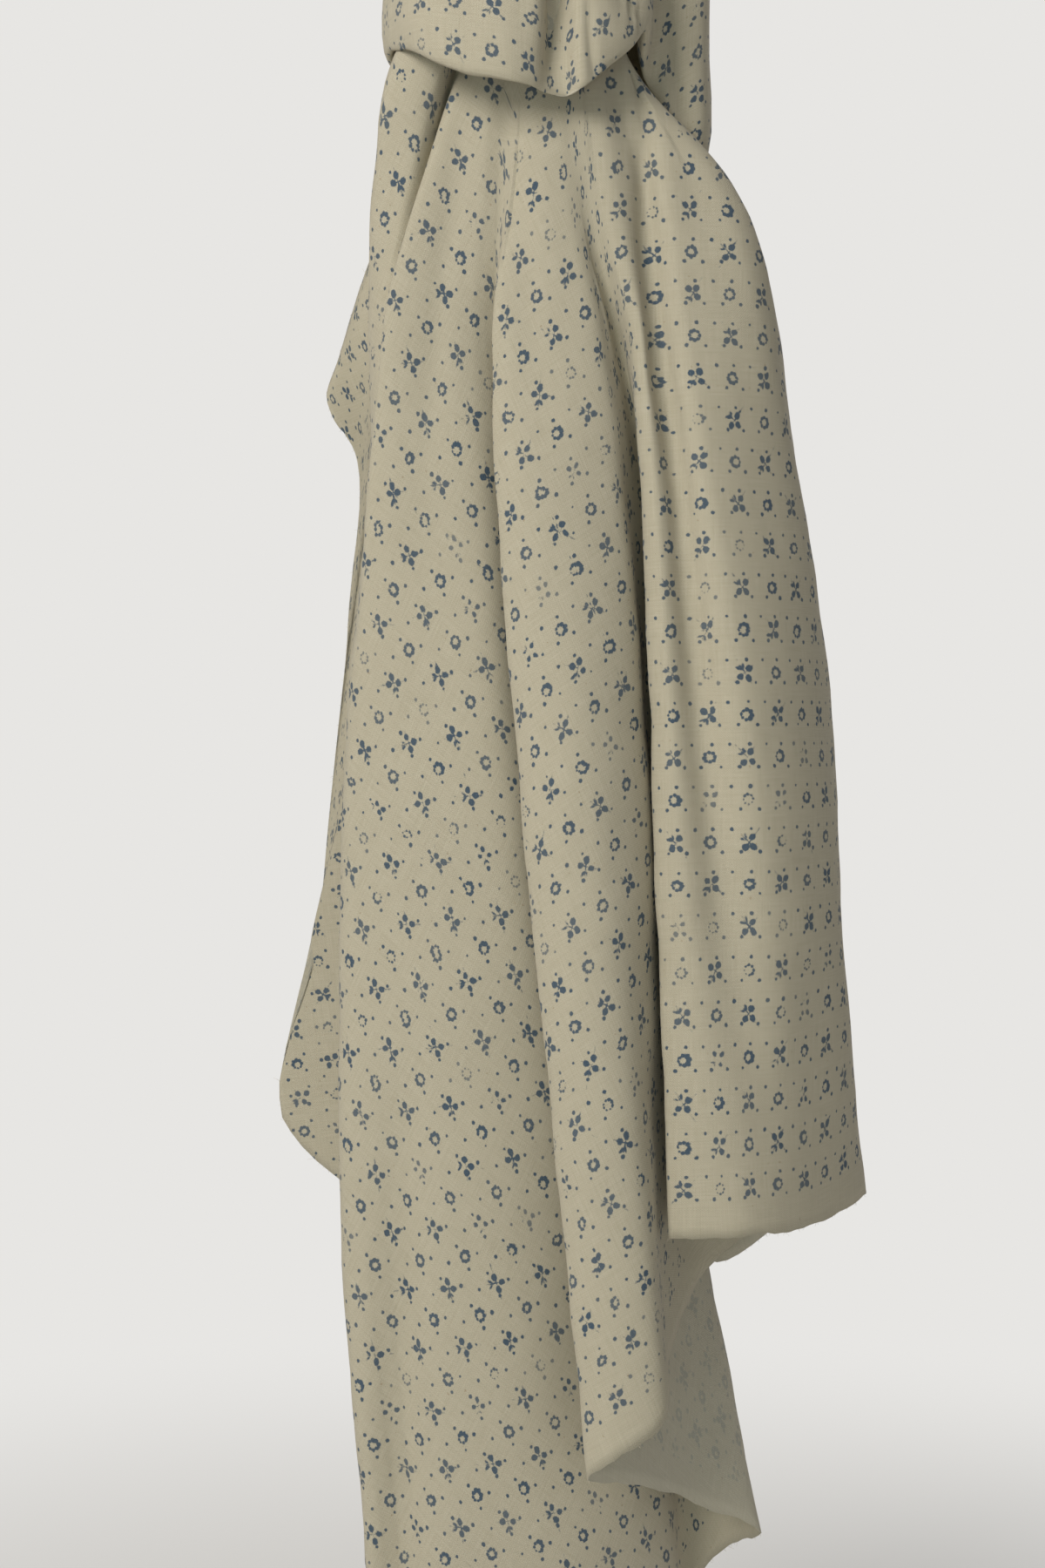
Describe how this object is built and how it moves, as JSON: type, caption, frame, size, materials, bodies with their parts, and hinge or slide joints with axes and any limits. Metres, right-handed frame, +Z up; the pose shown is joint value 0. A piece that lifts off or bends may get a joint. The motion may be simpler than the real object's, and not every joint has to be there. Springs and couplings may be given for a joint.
{
  "type": "block-printed cotton cloth",
  "caption": "Plain-weave cotton cloth with a small block print, hanging in pleats from a gathered, puffed top.",
  "frame": {"origin": "the middle of the gathered top, where the cloth is held up", "axes": "+Z up; -Y towards the printed front; +X to the right seen from the front"},
  "size_m": [0.2472, 0.1519, 0.7709],
  "materials": {
    "printed_cotton": "matte plain weave"
  },
  "bodies": {
    "root": {"cloth": "printed_cotton"}
  },
  "joints": []
}
